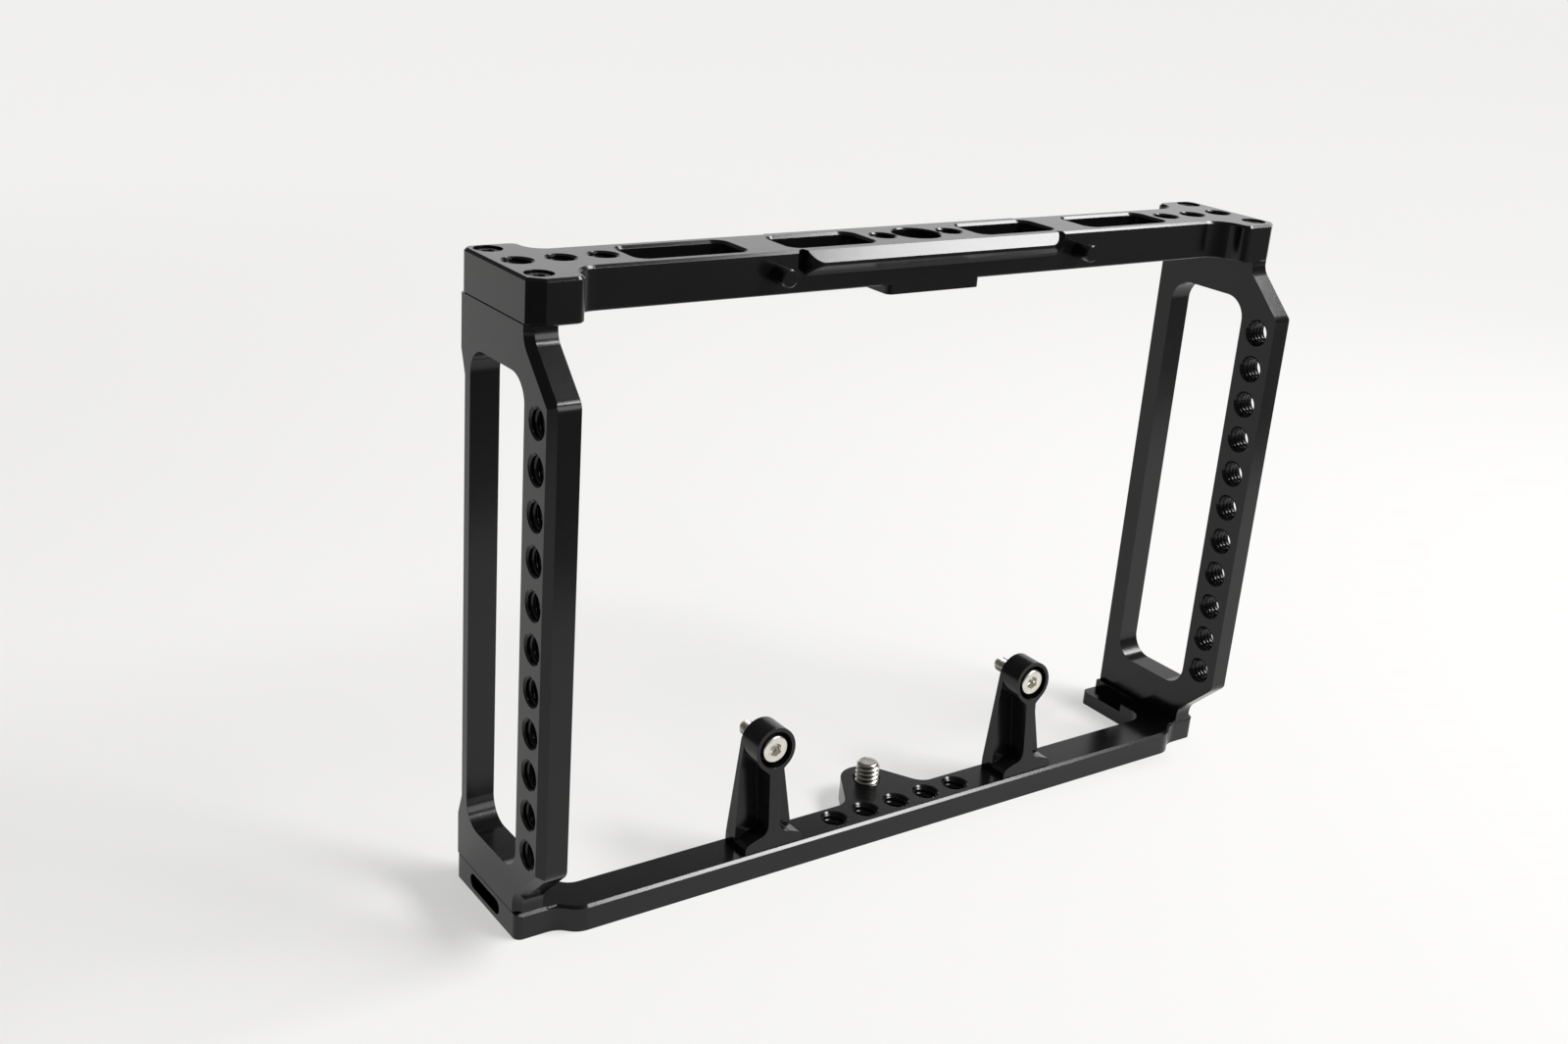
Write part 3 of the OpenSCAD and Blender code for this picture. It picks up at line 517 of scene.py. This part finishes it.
class CageLooks(PropertyGroup):
    """Colours and finishes of the cage."""

    black: FloatVectorProperty(
        name="Anodising", description="Colour of the black anodising",
        subtype="COLOR", size=3, min=0, max=1, default=(0.0032, 0.0033, 0.0036),
    # colour of the paler edges: partly bare aluminium, partly a painted highlight
    )
    bare_and_highlit_edge: FloatVectorProperty(
        name="Worn edge", description="Colour of an edge where the anodising is worn",
        subtype="COLOR", size=3, min=0, max=1, default=(0.30, 0.30, 0.31),
    )
    # how much of the paler edge shows: part wear, part painted highlight
    edge_wear_and_highlight: FloatProperty(
        name="Edge wear", description="How much of the worn colour shows",
        subtype="FACTOR", min=0, max=1, default=0.3,
    )
    satin: FloatProperty(
        name="Satin", description="Roughness of the blasted faces",
        subtype="FACTOR", min=0, max=1, default=0.18,
    )
    edge_radius: FloatProperty(
        name="Edge radius", description="Radius to which the edges are broken",
        subtype="DISTANCE", unit="LENGTH", min=0, default=0.0001, precision=5,
    )
    steel: FloatVectorProperty(
        name="Stainless steel", description="Colour of the bright screws",
        subtype="COLOR", size=3, min=0, max=1, default=(0.80, 0.775, 0.70),
    )
    dull_steel: FloatVectorProperty(
        name="Dull steel", description="Colour of the upright monitor screw",
        subtype="COLOR", size=3, min=0, max=1, default=(0.66, 0.64, 0.57),
    )
    pin_black: FloatVectorProperty(
        name="Pin", description="Colour of the stop pins",
        subtype="COLOR", size=3, min=0, max=1, default=(0.008, 0.008, 0.009),
    )
    screw_black: FloatVectorProperty(
        name="Joint screw", description="Colour of the black joint screws",
        subtype="COLOR", size=3, min=0, max=1, default=(0.02, 0.02, 0.02),
    )


class CageThreads(PropertyGroup):
    """Sizes of the threads, screws and springs, which match the CAD."""

    radius: FloatProperty(
        name="Mount thread", description="Outer radius of the quarter-inch threads",
        subtype="DISTANCE", unit="LENGTH", min=0, default=3.175 * MM, precision=5,
    )
    pitch: FloatProperty(
        name="Mount pitch", description="Pitch of the quarter-inch threads",
        subtype="DISTANCE", unit="LENGTH", min=0.0001, default=1.27 * MM, precision=5,
    )
    depth: FloatProperty(
        name="Mount depth", description="Depth of the quarter-inch screw's thread",
        subtype="DISTANCE", unit="LENGTH", min=0, default=0.72 * MM, precision=5,
    )
    tap_depth: FloatProperty(
        name="Tapped depth", description="Height of the ridge in the quarter-inch holes",
        subtype="DISTANCE", unit="LENGTH", min=0, default=0.5 * MM, precision=5,
    )
    screw_radius: FloatProperty(
        name="Screw thread", description="Outer radius of the post screws' thread",
        subtype="DISTANCE", unit="LENGTH", min=0, default=2.0 * MM, precision=5,
    )
    screw_pitch: FloatProperty(
        name="Screw pitch", description="Pitch of the post screws' thread",
        subtype="DISTANCE", unit="LENGTH", min=0.0001, default=0.7 * MM, precision=5,
    )
    socket: FloatProperty(
        name="Socket", description="Width of the screws' sockets across the flats",
        subtype="DISTANCE", unit="LENGTH", min=0, default=3.0 * MM, precision=5,
    )
    sides: IntProperty(
        name="Sides", description="Sides of a turned screw", min=12, max=96, default=48,
    )
    tap_sides: IntProperty(
        name="Hole sides", description="Sides of the ridge in a hole", min=12, max=96, default=36,
    )
    wire: FloatProperty(
        name="Spring wire", description="Radius of the wire of the springs behind the stop pins",
        subtype="DISTANCE", unit="LENGTH", min=0.0001, default=0.25 * MM, precision=5,
    )
    coils: IntProperty(
        name="Spring turns", description="Turns of the springs behind the stop pins",
        min=4, max=7, default=6,
    )


class CageStage(PropertyGroup):
    """Floor, light and camera."""

    paper: FloatVectorProperty(
        name="Paper", description="Colour of the floor",
        subtype="COLOR", size=3, min=0, max=1, default=(0.89, 0.885, 0.875),
    )
    paper_glow: FloatProperty(
        name="Paper glow", description="Share of the floor near the cage that shows no shade",
        subtype="FACTOR", min=0, max=1, default=0.6,
    )
    key_power: FloatProperty(
        name="Key light", description="Power of the soft light above the front right",
        subtype="POWER", unit="POWER", min=0, default=39.0,
    )
    front_power: FloatProperty(
        name="Front light", description="Power of the low light in front",
        subtype="POWER", unit="POWER", min=0, default=8.0,
    )
    back_power: FloatProperty(
        name="Back light", description="Power of the wide light behind",
        subtype="POWER", unit="POWER", min=0, default=138.0,
    )
    sky: FloatProperty(
        name="Room light", description="Strength of the even light from all round",
        min=0, default=0.14,
    )
    lens: FloatProperty(
        name="Lens", description="Focal length of the camera",
        subtype="DISTANCE_CAMERA", unit="CAMERA", min=1, default=40.0286,
    )


class CageSettings(PropertyGroup):
    """All settings of the cage."""

    looks: PointerProperty(type=CageLooks)
    threads: PointerProperty(type=CageThreads)
    stage: PointerProperty(type=CageStage)


# Operators


class CAGE_OT_stage(Operator):
    """Set the floor, the light and the camera"""

    bl_idname = "cage.stage"
    bl_label = "Floor, light and camera"

    def sheet(self, name, left, right, front, back, height, material):
        """A level sheet of the stage."""
        mesh = bpy.data.meshes.new(name)
        corners = ((left, front), (right, front), (right, back), (left, back))
        mesh.from_pydata([(*corner, height) for corner in corners], [], [(0, 1, 2, 3)])
        mesh.materials.append(material)
        sheet = bpy.data.objects.new(name, mesh)
        bpy.context.scene.collection.objects.link(sheet)
        return sheet

    def lamp(self, name, size, power, place, aim, roll=0.0):
        """A soft lamp that points at aim."""
        light = bpy.data.lights.new(name, "AREA")
        light.shape, light.energy = "RECTANGLE", power
        light.size, light.size_y = size
        lamp = bpy.data.objects.new(name, light)
        lamp.location = place
        look = (Vector(aim) - Vector(place)).to_track_quat("-Z", "Y")
        lamp.rotation_euler = (look @ Quaternion((0, 0, 1), math.radians(roll))).to_euler()
        lamp.visible_camera = False
        bpy.context.scene.collection.objects.link(lamp)

    def room(self, stage):
        """Even light from all round, behind a wall that the camera sees."""
        world = bpy.data.worlds.new("room")
        room = Shader(world)
        seen = room.add("ShaderNodeLightPath").out("Is Camera Ray")
        sockets = {"Color": (1, 1, 1, 1), "Strength": stage.sky}
        even = room.add("ShaderNodeBackground", None, sockets).out(0)
        sockets = {"Color": rgba(stage.paper), "Strength": WALL_LIGHT}
        wall = room.add("ShaderNodeBackground", None, sockets).out(0)
        mixed = room.add("ShaderNodeMixShader", None, {0: seen, 1: even, 2: wall}).out(0)
        room.add("ShaderNodeOutputWorld", None, {"Surface": mixed})
        return world

    def camera(self, stage):
        lens = bpy.data.cameras.new("camera")
        lens.sensor_fit, lens.sensor_width, lens.lens = "HORIZONTAL", SENSOR_WIDTH, stage.lens
        lens.clip_start, lens.clip_end = CAMERA_NEAR, CAMERA_FAR
        camera = bpy.data.objects.new("camera", lens)
        turn = Matrix((CAMERA_RIGHT, CAMERA_UP, CAMERA_BACK)).transposed().to_4x4()
        camera.matrix_world = Matrix.Translation(CAMERA_PLACE) @ turn
        bpy.context.scene.collection.objects.link(camera)
        return camera

    def execute(self, context):
        scene, stage = context.scene, context.scene.cage.stage
        reach = FLOOR_REACH
        self.sheet("floor", -reach, reach, -reach, reach, 0, floor_finish(stage))
        card = self.sheet(
            "dark_card", CARD_LEFT, CARD_RIGHT, CARD_FRONT, CARD_BACK, CARD_HEIGHT, card_finish()
        )
        card.visible_camera = card.visible_shadow = False
        for name, side, share in KEY_HALVES:
            shift = KEY_AXIS * side * KEY_SIZE[0]
            power = stage.key_power * share
            self.lamp(name, KEY_SIZE, power, KEY_PLACE + shift, MIDDLE + shift, KEY_ROLL)
        self.lamp("front", FRONT_SIZE, stage.front_power, FRONT_PLACE, MIDDLE)
        self.lamp("back", BACK_SIZE, stage.back_power, BACK_PLACE, MIDDLE)
        scene.world = self.room(stage)
        scene.camera = self.camera(stage)
        scene.view_settings.view_transform = "Standard"
        return {"FINISHED"}


class CAGE_OT_plates(Operator):
    """Give the plates and posts their black anodising"""

    bl_idname = "cage.plates"
    bl_label = "Plates and posts"

    def execute(self, context):
        dress(PLATES, anodised_finish(context.scene.cage.looks))
        return {"FINISHED"}


class CAGE_OT_hole_threads(Operator):
    """Cut the threads in the mount holes of the four plates"""

    bl_idname = "cage.hole_threads"
    bl_label = "Threads in the holes"

    def execute(self, context):
        t = context.scene.cage.threads
        black = bpy.data.materials["black_anodising"]

        def thread(length, rim=RIM):
            """The ridge in a hole, from the hole's length and its broken rim in millimetres."""
            return hole_thread(t.radius, t.pitch, t.tap_depth, length * MM, rim * MM, t.tap_sides)

        side, top, base = thread(SIDE_THICK), thread(TOP_THICK), thread(BASE_THICK)
        boss = thread(BOSS_THICK, BOSS_RIM)
        up = (0, 0, 1)
        rows = [SIDE_ROW_Z + HOLE_STEP * (i - SIDE_HOLES // 2) for i in range(SIDE_HOLES)]
        steps = [HOLE_STEP * i for i in range(TOP_END_HOLES)]
        ends = [s * (SIDE_FACE - TOP_END - step) for s in (-1, 1) for step in steps]
        base_row = [HOLE_STEP * (i - BASE_HOLES // 2) for i in range(BASE_HOLES)]
        plates = {
            "left_plate_threads": [
                (side, along((1, 0, 0), (-SIDE_FACE, SIDE_ROW_Y, z))) for z in rows
            ],
            "right_plate_threads": [
                (side, along((-1, 0, 0), (SIDE_FACE, SIDE_ROW_Y, z))) for z in rows
            ],
            "top_plate_threads": [
                *((top, along(up, (x, TOP_LINE_Y, TOP_UNDER))) for x in ends),
                *((boss, along(up, (s * BOSS_HOLE_X, TOP_LINE_Y, BOSS_UNDER))) for s in (-1, 1)),
            ],
            "bottom_plate_threads": [(base, along(up, (x, BASE_ROW_Y, 0))) for x in base_row],
        }
        for name, parts in plates.items():
            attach(piece(name, *placed(parts), black, sharp=40.0), "cage")
        return {"FINISHED"}


class CAGE_OT_post_screws(Operator):
    """Turn the two socket screws in the posts"""

    bl_idname = "cage.post_screws"
    bl_label = "Post screws"

    def execute(self, context):
        t, looks = context.scene.cage.threads, context.scene.cage.looks
        steel = stainless_finish(
            "bright_screw_steel", looks.steel, rough_level=0.24, edge_radius=looks.edge_radius
        )
        hexes = hexagon(t.socket, t.sides)
        length, head, head_r = 10.0 * MM, 4.0 * MM, 3.5 * MM
        shank, thread_start, thread_depth, taper = 1.76 * MM, 2.3 * MM, 0.41 * MM, 0.9 * MM
        rows = [  # socket, rounded head and underside
            (hexes * 0.55, 2.1 * MM - head), (hexes, 1.75 * MM - head),
            (hexes, 0.12 * MM - head), (hexes + 0.16 * MM, -head),
            (head_r - 0.42 * MM, -head), (head_r - 0.18 * MM, 0.07 * MM - head),
            (head_r - 0.03 * MM, 0.24 * MM - head), (head_r, 0.42 * MM - head),
            (head_r, -0.14 * MM), (head_r - 0.12 * MM, 0.0), (shank, 0.0),
        ]
        rows += thread_rows(
            t.screw_radius, t.screw_pitch, thread_depth, thread_start, length - 0.02 * MM,
            t.sides, taper,
        )
        rows.append((t.screw_radius - 0.62 * MM, length))
        for side, name in ((-1, "left_post_screw"), (1, "right_post_screw")):
            screw = piece(name + "_turned", *turned(rows, t.sides), steel)
            place = (side * POST_SCREW_X, POST_SCREW_Y, POST_SCREW_Z)
            screw.matrix_world = along((0, 1, 0), place)
            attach(screw, name)
            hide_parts(name)
        return {"FINISHED"}


class CAGE_OT_monitor_screw(Operator):
    """Turn the upright screw in the tab"""

    bl_idname = "cage.monitor_screw"
    bl_label = "Monitor screw"

    def execute(self, context):
        t, looks = context.scene.cage.threads, context.scene.cage.looks
        hexes = hexagon(t.socket, t.sides)
        top, thread_start, taper = 11.9 * MM, 5.7 * MM, 1.0 * MM
        head_r, shank, groove = 4.7 * MM, 3.0 * MM, 2.6 * MM
        # radii and height of the painted shade in the thread's valleys
        shaded_root = (t.radius - t.depth * 1.02, t.radius - t.depth * 0.12, top - 0.2 * MM)
        steel = stainless_finish(
            "dull_screw_steel", looks.dull_steel, rough_level=0.26,
            edge_radius=looks.edge_radius, shaded_root=shaded_root,
        )
        rows = [  # socket, head, shank and the clip's groove
            (hexes * 0.5, 2.3 * MM), (hexes, 2.0 * MM), (hexes, 0.3 * MM),
            (head_r - 0.3 * MM, 0.3 * MM), (head_r, 0.6 * MM), (head_r, 2.6 * MM),
            (shank, 2.6 * MM), (shank, 4.05 * MM), (groove, 4.05 * MM), (groove, 5.45 * MM),
            (shank, 5.45 * MM),
        ]
        rows += thread_rows(
            t.radius, t.pitch, t.depth, thread_start, top - 0.02 * MM, t.sides, taper
        )
        rows += [(t.radius - 0.85 * MM, top), (t.radius - 1.6 * MM, top - 0.06 * MM)]
        screw = piece("monitor_screw_turned", *turned(rows, t.sides), steel)
        screw.matrix_world = along((0, 0, 1), MONITOR_SCREW)
        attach(screw, "monitor_screw")
        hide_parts("monitor_screw")
        return {"FINISHED"}


class CAGE_OT_springs(Operator):
    """Wind the springs behind the stop pins"""

    bl_idname = "cage.springs"
    bl_label = "Stop pin springs"

    def execute(self, context):
        t = context.scene.cage.threads
        wire = spring_finish()
        slides = [joint for joint in frame["joints"] if joint["type"] == "slide"]
        travel = {joint["name"]: joint["range_m"][1] for joint in slides}
        for pin in PINS:
            node, press = pin + "_spring", pin + "_press"
            low, high = (Vector(corner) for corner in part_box(node))
            middle, size = (low + high) / 2, high - low
            shape = wound(size.x / 2 - t.wire, t.wire, t.coils, size.y)
            spring = piece(node + "_wound", *shape, wire, sharp=60.0)
            spring.matrix_world = along((0, 1, 0), Vector((middle.x, low.y, middle.z)) / MM)
            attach(spring, "cage")
            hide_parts(node)
            1 - travel[press] / size.y
            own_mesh(spring)
        return {"FINISHED"}


class CAGE_OT_small_parts(Operator):
    """Give the joint screws, stop pins and clip their finishes"""

    bl_idname = "cage.small_parts"
    bl_label = "Joint screws and stop pins"

    def execute(self, context):
        looks = context.scene.cage.looks
        dark = black_steel_finish("blackened_screw", looks.screw_black, rough_level=0.42, rub=0.45)
        satin = black_steel_finish("satin_pin", looks.pin_black, rough_level=0.22, rub=0.12)
        dress(DARK_SCREWS, dark)
        dress(PINS, satin)
        dress(CLIP, bpy.data.materials["spring_wire"])
        return {"FINISHED"}


OPERATORS = (
    CAGE_OT_stage, CAGE_OT_plates, CAGE_OT_hole_threads, CAGE_OT_post_screws,
    CAGE_OT_monitor_screw, CAGE_OT_springs, CAGE_OT_small_parts,
)


class CAGE_PT_sidebar(Panel):
    """The cage's operators and settings"""

    bl_label = "Monitor cage"
    bl_idname = "CAGE_PT_sidebar"
    bl_space_type = "VIEW_3D"
    bl_region_type = "UI"
    bl_category = "Cage"

    def draw(self, context):
        for operator in OPERATORS:
            self.layout.operator(operator.bl_idname)
        cage = context.scene.cage
        for group in (cage.looks, cage.threads, cage.stage):
            box = self.layout.box()
            for name in group.__annotations__:
                box.prop(group, name)


CLASSES = (CageLooks, CageThreads, CageStage, CageSettings, *OPERATORS, CAGE_PT_sidebar)


def register():
    for cls in CLASSES:
        bpy.utils.register_class(cls)
    bpy.types.Scene.cage = PointerProperty(type=CageSettings)


def unregister():
    del bpy.types.Scene.cage
    for cls in reversed(CLASSES):
        bpy.utils.unregister_class(cls)


def main():
    register()
    for operator in OPERATORS:
        family, name = operator.bl_idname.split(".")
        getattr(getattr(bpy.ops, family), name)()


if __name__ == "__main__":
    main()
